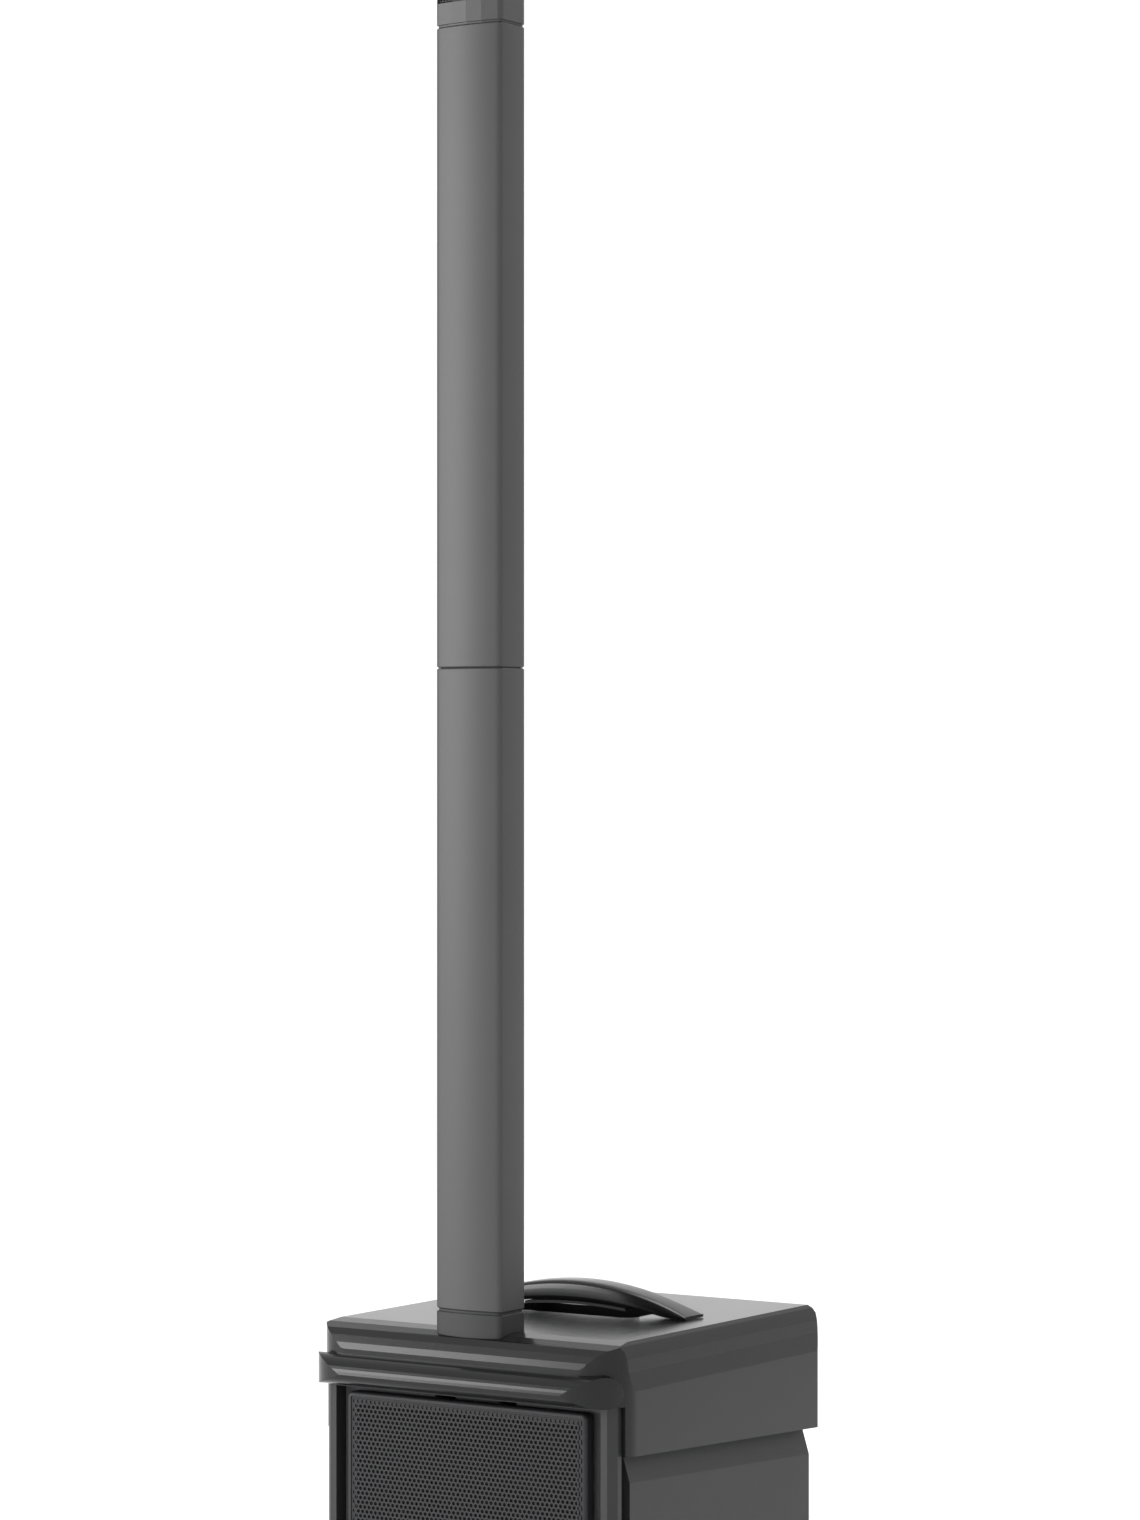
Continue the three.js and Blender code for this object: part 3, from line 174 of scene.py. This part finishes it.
MATERIALS = {
    "case_plastic": material("case_plastic", (0.017, 0.0172, 0.018), 0.5, bump=0.35, specular=0.36),
    "cap_plastic": material("cap_plastic", (0.008, 0.0081, 0.0085), 0.16, bump=0.05, specular=0.26),
    "column_plastic": material("column_plastic", (0.041, 0.041, 0.042), 0.42, bump=0.15, specular=0.35),
    "socket_plastic": material("socket_plastic", (0.02, 0.021, 0.022), 0.6, bump=0.25),
    "cabinet_wood": material("cabinet_paint", (0.07, 0.07, 0.073), 0.7, bump=0.8),
    "grille_metal": material("grille_metal", (0.012, 0.0122, 0.0138), 0.5, bump=0.3, specular=0.3),
    "foam": material("foam", (0.012, 0.012, 0.012), 0.95, noise=(1600.0, 0.3), bump=1.0),
    "rubber": material("rubber", (0.012, 0.012, 0.012), 0.8, bump=0.4),
    "panel_metal": material("panel_paint", (0.018, 0.019, 0.021), 0.45, bump=0.35),
    "dark_aluminium": material("dark_aluminium", (0.07, 0.07, 0.075), 0.38, metallic=0.85),
    "knob_plastic": material("knob_plastic", (0.014, 0.014, 0.015), 0.5, bump=0.2),
    "button_plastic": material("button_plastic", (0.28, 0.29, 0.3), 0.5, bump=0.15),
    "jack_plastic": material("jack_plastic", (0.01, 0.01, 0.011), 0.4, bump=0.1),
    "driver_steel": material("driver_steel", (0.1, 0.1, 0.11), 0.4, metallic=0.7),
    "cone_paper": material(
        "cone_paper", (0.016, 0.016, 0.017), 0.85, noise=(500.0, 0.35), bump=0.8
    ),
    "circuit_board": material("circuit_board", (0.012, 0.08, 0.035), 0.4, bump=0.2),
    "lamp_plastic": glowing("lamp_plastic", (0.1, 0.8, 0.2), 1.5),
}
PRINT = material("panel_print", (0.62, 0.62, 0.62), 0.6, noise=(700.0, 0.08), bump=0.05)
SCREW = material("screw_steel", (0.2, 0.2, 0.21), 0.3, metallic=1.0, noise=(1400.0, 0.1))


# ---------------------------------------------------------------------- mesh helpers
def object_from(mesh, name, smooth=False):
    """Turns a bmesh into a linked object."""
    bmesh.ops.recalc_face_normals(mesh, faces=mesh.faces)
    data = bpy.data.meshes.new(name)
    mesh.to_mesh(data)
    mesh.free()
    if smooth:
        data.polygons.foreach_set("use_smooth", [True] * len(data.polygons))
    made = bpy.data.objects.new(name, data)
    scene.collection.objects.link(made)
    return made


def as_piece(made, body, slot, *replaced, finish=None):
    """Gives an object its material (the slot's, unless a finish is given), puts it under its body, and
    hides the CAD nodes that it stands for.
    """
    made.data.materials.append(finish or MATERIALS[slot])
    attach(made, body)
    if replaced:
        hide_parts(*replaced)
    return made


def add_bevel(made, width, segments=3, angle=35.0):
    bevel = made.modifiers.new("edges", "BEVEL")
    bevel.width = width
    bevel.segments = segments
    bevel.limit_method = "ANGLE"
    bevel.angle_limit = math.radians(angle)
    bevel.harden_normals = False


def smooth_by_angle(made, angle=40.0):
    made.data.polygons.foreach_set("use_smooth", [True] * len(made.data.polygons))
    mesh = bmesh.new()
    mesh.from_mesh(made.data)
    limit = math.radians(angle)
    for edge in mesh.edges:
        edge.smooth = len(edge.link_faces) == 2 and edge.calc_face_angle(0.0) < limit
    mesh.to_mesh(made.data)
    mesh.free()


def make_smoothing(angle=32.0):
    """A node group that shades faces smooth and keeps the sharper edges crisp."""
    group = bpy.data.node_groups.new("smooth_by_angle", "GeometryNodeTree")
    for direction in ("INPUT", "OUTPUT"):
        group.interface.new_socket(
            "Geometry", in_out=direction, socket_type="NodeSocketGeometry"
        )
    source = group.nodes.new("NodeGroupInput")
    faces = group.nodes.new("GeometryNodeSetShadeSmooth")
    faces.domain = "FACE"
    edges = group.nodes.new("GeometryNodeSetShadeSmooth")
    edges.domain = "EDGE"
    edges.inputs["Shade Smooth"].default_value = False
    fold = group.nodes.new("GeometryNodeInputMeshEdgeAngle")
    sharp = group.nodes.new("FunctionNodeCompare")
    sharp.operation = "GREATER_THAN"
    sharp.inputs["B"].default_value = math.radians(angle)
    result = group.nodes.new("NodeGroupOutput")
    group.links.new(source.outputs["Geometry"], faces.inputs["Geometry"])
    group.links.new(faces.outputs["Geometry"], edges.inputs["Geometry"])
    group.links.new(fold.outputs["Unsigned Angle"], sharp.inputs["A"])
    group.links.new(sharp.outputs["Result"], edges.inputs["Selection"])
    group.links.new(edges.outputs["Geometry"], result.inputs["Geometry"])
    return group


SMOOTHING = make_smoothing()


def dress_cad(name, slot):
    """Keeps a CAD node, with rounded edges, smooth curves and its own material."""
    made = nodes[name]
    made.data.materials.clear()
    made.data.materials.append(MATERIALS[slot])
    planar = made.modifiers.new("flat_faces", "DECIMATE")
    planar.decimate_type = "DISSOLVE"
    planar.angle_limit = math.radians(1.0)
    add_bevel(made, 0.6 * MM, segments=2)
    shading = made.modifiers.new("smooth_curves", "NODES")
    shading.node_group = SMOOTHING
    weighted = made.modifiers.new("even_normals", "WEIGHTED_NORMAL")
    weighted.keep_sharp = True
    return made


# ------------------------------------------------------------------ column and array
def column_section(width, depth, bulge=4.5 * MM, edge=4 * MM, corner=9 * MM, shift=0.0):
    """Plan outline of a column piece, anticlockwise, centred on the column's axis."""
    side, front, back = width / 2, -depth / 2, depth / 2
    shoulder = front + bulge
    points = []

    def curve(start, control, end, steps):
        for i in range(steps):
            t = i / steps
            x, y = (
                (1 - t) ** 2 * a + 2 * t * (1 - t) * b + t**2 * c
                for a, b, c in zip(start, control, end)
            )
            points.append((x, y + shift))

    arch = shoulder - edge * 0.35
    curve((-side, shoulder + edge), (-side, shoulder), (-side + edge, arch), 6)
    curve((-side + edge, arch), (0.0, 2 * front - arch), (side - edge, arch), 28)
    curve((side - edge, arch), (side, shoulder), (side, shoulder + edge), 6)
    for sign, start in ((1, 0.0), (-1, math.pi / 2)):
        for i in range(11):
            angle = start + i / 10 * math.pi / 2
            x = sign * (side - corner) + corner * math.cos(angle)
            points.append((x, back - corner + corner * math.sin(angle) + shift))
    return points


def loft(name, rings, ends="closed"):
    """Joins rings of (x, y, z) points with quads.

    ends is "closed" for flat ends, "open" for none, or "joined" for a tube with a bore."""
    mesh = bmesh.new()
    loops = [[mesh.verts.new(point) for point in ring] for ring in rings]
    following = loops[1:] + loops[:1] if ends == "joined" else loops[1:]
    count = len(loops[0])
    for lower, upper in zip(loops, following):
        for i in range(count):
            j = (i + 1) % count
            mesh.faces.new((lower[i], lower[j], upper[j], upper[i]))
    if ends == "closed":
        mesh.faces.new(loops[0])
        mesh.faces.new(loops[-1])
    return object_from(mesh, name)


def section_ring(y, z, width, depth, inset=0.0, **shape):
    points = column_section(width - 2 * inset, depth - 2 * inset, **shape)
    return [(px, py + y, z) for px, py in points]


def column_tube(name, node, body):
    """A hollow tube with softened ends, in place of the faceted CAD tube."""
    low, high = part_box(node)
    y = (low.y + high.y) / 2
    width, depth = high.x - low.x, high.y - low.y
    wall = 3 * MM
    lip = 1.2 * MM
    rings = [
        section_ring(y, low.z + lip, width, depth, wall, corner=6 * MM, edge=2 * MM),
        section_ring(y, low.z, width, depth, lip),
        section_ring(y, low.z + lip, width, depth),
        section_ring(y, high.z - lip, width, depth),
        section_ring(y, high.z, width, depth, lip),
        section_ring(y, high.z - lip, width, depth, wall, corner=6 * MM, edge=2 * MM),
    ]
    tube = loft(name, rings, ends="joined")
    smooth_by_angle(tube, 30.0)
    return as_piece(tube, body, "column_plastic", node)


def socket_neck():
    """The socket's neck with its shadow line and the pocket for the column's tongue."""
    low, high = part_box("column_socket")
    tube_low, tube_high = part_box("lower_column_tube")
    y = (tube_low.y + tube_high.y) / 2
    width, depth = tube_high.x - tube_low.x, tube_high.y - tube_low.y
    foot = high.z - 57 * MM  # inside the cap, out of sight
    shoulder = high.z - 2 * MM
    groove = 1.5 * MM
    softening = 0.6 * MM
    clearance = 0.8 * MM  # between the column's tongue and its pocket
    tongue = {"bulge": 1 * MM, "edge": 2 * MM + clearance, "corner": 4 * MM + clearance}
    pocket_y = y + 8 * MM
    pocket_width, pocket_depth = 52 * MM + 2 * clearance, 24 * MM + 2 * clearance
    rings = [
        section_ring(y, foot, width, depth),
        section_ring(y, shoulder - softening, width, depth),
        section_ring(y, shoulder, width, depth, softening),
        section_ring(y, shoulder, width, depth, groove),
        section_ring(y, high.z, width, depth, groove),
        section_ring(pocket_y, high.z, pocket_width, pocket_depth, **tongue),
        section_ring(pocket_y, low.z + 6 * MM, pocket_width, pocket_depth, **tongue),
    ]
    neck = loft("socket_neck", rings)
    smooth_by_angle(neck, 30.0)
    as_piece(neck, "base", "case_plastic", "column_socket")


def perforated(name, point_at, across, along, pitch, hole, thickness):
    """A sheet of round holes in a staggered grid.

    point_at(u, v) places the flat sheet, with u in 0..across and v in 0..along."""
    mesh = bmesh.new()
    columns = int(across / pitch)
    row_pitch = pitch * math.sqrt(3) / 2
    rows = int(along / row_pitch)
    margin_u = (across - columns * pitch) / 2
    margin_v = (along - rows * row_pitch) / 2
    cache = {}

    def corner(u, v):
        key = (round(u * 1e6), round(v * 1e6))
        if key not in cache:
            cache[key] = mesh.verts.new(point_at(u, v))
        return cache[key]

    sides = 6
    for row in range(rows):
        v0 = margin_v + row * row_pitch
        v1 = v0 + row_pitch
        middle_v = (v0 + v1) / 2
        offset = pitch / 2 if row % 2 else 0.0
        for column in range(columns - (row % 2)):
            u0 = margin_u + offset + column * pitch
            u1 = u0 + pitch
            middle_u = (u0 + u1) / 2
            rim = []
            for i in range(sides):
                angle = (i + 0.5) * 2 * math.pi / sides
                rim.append(
                    corner(middle_u + hole * math.cos(angle), middle_v + hole * math.sin(angle))
                )
            outer = [
                corner(u1, middle_v),
                corner(u1, v1),
                corner(middle_u, v1),
                corner(u0, v1),
                corner(u0, middle_v),
                corner(u0, v0),
                corner(middle_u, v0),
                corner(u1, v0),
            ]
            mesh.faces.new((outer[0], outer[1], rim[0]))
            mesh.faces.new((outer[1], outer[2], rim[1], rim[0]))
            mesh.faces.new((outer[2], outer[3], rim[2], rim[1]))
            mesh.faces.new((outer[3], outer[4], rim[2]))
            mesh.faces.new((outer[4], rim[3], rim[2]))
            mesh.faces.new((outer[4], outer[5], rim[3]))
            mesh.faces.new((outer[5], outer[6], rim[4], rim[3]))
            mesh.faces.new((outer[6], outer[7], rim[5], rim[4]))
            mesh.faces.new((outer[7], outer[0], rim[5]))
            mesh.faces.new((outer[0], rim[0], rim[5]))
    made = object_from(mesh, name)
    solid = made.modifiers.new("sheet", "SOLIDIFY")
    solid.thickness = thickness
    solid.offset = 0.0
    return made


def grid_rectangle(half_width, half_height, radius, inset=0.0, steps=6):
    """A rounded rectangle in X and Z, anticlockwise, as (x, z) points."""
    width, height = half_width - inset, half_height - inset
    curve = max(radius - inset, 0.6 * MM)
    corners = ((1, -1, -90), (1, 1, 0), (-1, 1, 90), (-1, -1, 180))
    points = []
    for sign_x, sign_z, start in corners:
        for i in range(steps + 1):
            angle = math.radians(start + 90 * i / steps)
            x = sign_x * (width - curve) + curve * math.cos(angle)
            z = sign_z * (height - curve) + curve * math.sin(angle)
            points.append((x, z))
    return points


def front_grille():
    """Perforated front sheet and its folded rim, in place of the plain tray."""
    low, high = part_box("front_grille")
    centre_z = (low.z + high.z) / 2
    half_width, half_height = (high.x - low.x) / 2, (high.z - low.z) / 2
    border = 6 * MM

    def on_sheet(u, v):
        return (low.x + border + u, low.y + 0.4 * MM, low.z + border + v)

    across = 2 * (half_width - border)
    along = 2 * (half_height - border)
    sheet = perforated("grille_sheet", on_sheet, across, along, 5.0 * MM, 1.9 * MM, 0.8 * MM)
    as_piece(sheet, "base", "grille_metal", "front_grille")
    fold = [
        (border + 5 * MM, 0.9 * MM),
        (border - 1 * MM, 0.9 * MM),
        (border - 1.4 * MM, 0.0),
        (2.6 * MM, 0.0),
        (0.8 * MM, 0.8 * MM),
        (0.0, 2.6 * MM),
        (0.0, high.y - low.y),
    ]
    rings = []
    for inset, depth in fold:
        outline = grid_rectangle(half_width, half_height, 6 * MM, inset)
        rings.append([(x, low.y + depth, z + centre_z) for x, z in outline])
    rim = loft("grille_rim", rings, ends="open")
    smooth_by_angle(rim, 50.0)
    solid = rim.modifiers.new("sheet", "SOLIDIFY")
    solid.thickness = 0.8 * MM
    as_piece(rim, "base", "grille_metal", "front_grille")


def array_grille():
    """Perforated strip that follows the arched front of the array."""
    low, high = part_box("array_grille")
    centre_x = (low.x + high.x) / 2
    half = (high.x - low.x) / 2 - 0.4 * MM
    rise = 3.2 * MM

    def on_arch(u, v):
        x = -half + u
        return (centre_x + x, low.y + 0.5 * MM + rise * (x / half) ** 2, low.z + v)

    sheet = perforated(
        "array_grille_sheet", on_arch, 2 * half, high.z - low.z, 4.0 * MM, 1.5 * MM, 0.6 * MM
    )
    as_piece(sheet, "array", "grille_metal", "array_grille")


def handle():
    """Arched handle with a rounded section that thins out into the cap at its ends."""
    low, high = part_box("carry_handle")
    span = (high.x - low.x) / 2
    pad = 26 * MM
    toe = 3 * MM
    rise = high.z - low.z
    thickness = 20 * MM
    inner = span - pad
    half_width = (high.y - low.y) / 2
    centre_y = (low.y + high.y) / 2
    stations = 64
    around = 28
    rings = []
    for i in range(stations + 1):
        x = -span + 2 * span * i / stations
        top = low.z + toe + (rise - toe) * (1 - (x / span) ** 2)
        under = low.z + max(rise - thickness, 0.0) * max(1 - (x / inner) ** 2, 0.0)
        middle, half = (top + under) / 2, (top - under) / 2
        ring = []
        for j in range(around):
            angle = 2 * math.pi * j / around
            sine, cosine = math.sin(angle), math.cos(angle)
            power = 0.45
            dy = math.copysign(abs(cosine) ** power, cosine) * half_width
            dz = math.copysign(abs(sine) ** power, sine) * half
            ring.append((x, centre_y + dy, middle + dz))
        rings.append(ring)
    made = loft("handle_arch", rings)
    smooth_by_angle(made, 45.0)
    as_piece(made, "base", "cap_plastic", "carry_handle")


def disc(mesh, centre, radius, depth, facing=1.0, sides=20):
    """Adds a round slug along Y to mesh; facing is the sign of its outward Y."""
    turn = Matrix.Rotation(math.radians(90.0), 4, "X")
    place = Matrix.Translation(Vector(centre) + Vector((0.0, facing * depth / 2, 0.0)))
    bmesh.ops.create_cone(
        mesh,
        cap_ends=True,
        segments=sides,
        radius1=radius,
        radius2=radius,
        depth=depth,
        matrix=place @ turn,
    )


def block(mesh, centre, size, turn=0.0):
    """Adds a small box to mesh, turned about Y through its centre."""
    place = (
        Matrix.Translation(centre)
        @ Matrix.Rotation(turn, 4, "Y")
        @ Matrix.Diagonal((*size, 1.0))
    )
    bmesh.ops.create_cube(mesh, size=1.0, matrix=place)


def cross_screw(mesh, centre, radius):
    """A low screw head with a cross raised on it, facing +Y."""
    disc(mesh, centre, radius, 0.9 * MM)
    top = Vector(centre) + Vector((0.0, 0.9 * MM, 0.0))
    disc(mesh, top, radius * 0.72, 0.35 * MM)
    for turn in (0.0, math.pi / 2):
        size = (radius * 1.1, 0.5 * MM, radius * 0.22)
        block(mesh, top + Vector((0.0, 0.3 * MM, 0.0)), size, turn + 0.4)


def panel_screws():
    """Screws round the rear plate and on the connector flanges."""
    low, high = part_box("amp_panel")
    mesh = bmesh.new()
    inset = 6 * MM
    for x in (low.x + inset, high.x - inset):
        for i in range(5):
            z = low.z + inset + i / 4 * (high.z - low.z - 2 * inset)
            cross_screw(mesh, (x, high.y, z), 3.2 * MM)
    for name in ("combo_jack_1", "combo_jack_2", "line_output_jack"):
        jack_low, jack_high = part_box(name)
        for x, z in (
            (jack_low.x + 3.4 * MM, jack_low.z + 3.4 * MM),
            (jack_high.x - 3.4 * MM, jack_high.z - 3.4 * MM),
        ):
            cross_screw(mesh, (x, high.y + 2.4 * MM, z), 1.7 * MM)
    inlet_low, inlet_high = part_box("mains_inlet")
    for x in (inlet_low.x + 2.2 * MM, inlet_high.x - 2.2 * MM):
        cross_screw(mesh, (x, high.y + 2.6 * MM, (inlet_low.z + inlet_high.z) / 2), 1.7 * MM)
    screws = object_from(mesh, "panel_screws")
    as_piece(screws, "base", "driver_steel", finish=SCREW)


def scale_marks():
    """Printed rings of tick marks round the knobs, and frames round the groups."""
    mesh = bmesh.new()
    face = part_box("amp_panel")[1].y + 0.1 * MM
    for name in nodes:
        if not name.endswith("_knob"):
            continue
        low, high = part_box(name)
        x, z = (low.x + high.x) / 2, (low.z + high.z) / 2
        ticks = 11
        for i in range(ticks):
            angle = math.radians(-150 + 300 * i / (ticks - 1))
            long_tick = i in (0, ticks // 2, ticks - 1)
            length = (3.2 if long_tick else 2.0) * MM
            reach = 10.6 * MM + length / 2
            place = (x + reach * math.sin(angle), face, z + reach * math.cos(angle))
            block(mesh, place, (0.5 * MM, 0.1 * MM, length), angle)
    rule = 0.6 * MM
    for z in (332.8, 291.8, 225.3):
        block(mesh, (0.0, face, z * MM), (218 * MM, 0.1 * MM, rule))
    for x in (60.0, 12.0, -42.0):
        block(mesh, (x * MM, face, 298 * MM), (rule, 0.1 * MM, 140 * MM))
    marks = object_from(mesh, "panel_scale_marks")
    as_piece(marks, "base", "button_plastic", finish=PRINT)


make_camera()
make_floor()
make_world()
make_light("key", (-4.2, -4.4, 1.9), (0.0, 0.0, 0.9), (2.4, 3.4), 290.0)
make_light("fill", (3.6, -0.6, 1.8), (0.0, 0.0, 0.8), (2.4, 3.0), 4.0)
make_light("top", (0.2, 1.4, 4.2), (0.0, 0.0, 0.5), (3.0, 3.0), 110.0)

for entry in frame["record"]["subparts"]:
    dress_cad(entry["node"], entry["material_slot"])

column_tube("lower_tube_skin", "lower_column_tube", "lower_column")
column_tube("upper_tube_skin", "upper_column_tube", "upper_column")
socket_neck()
front_grille()
array_grille()
handle()
panel_screws()
scale_marks()
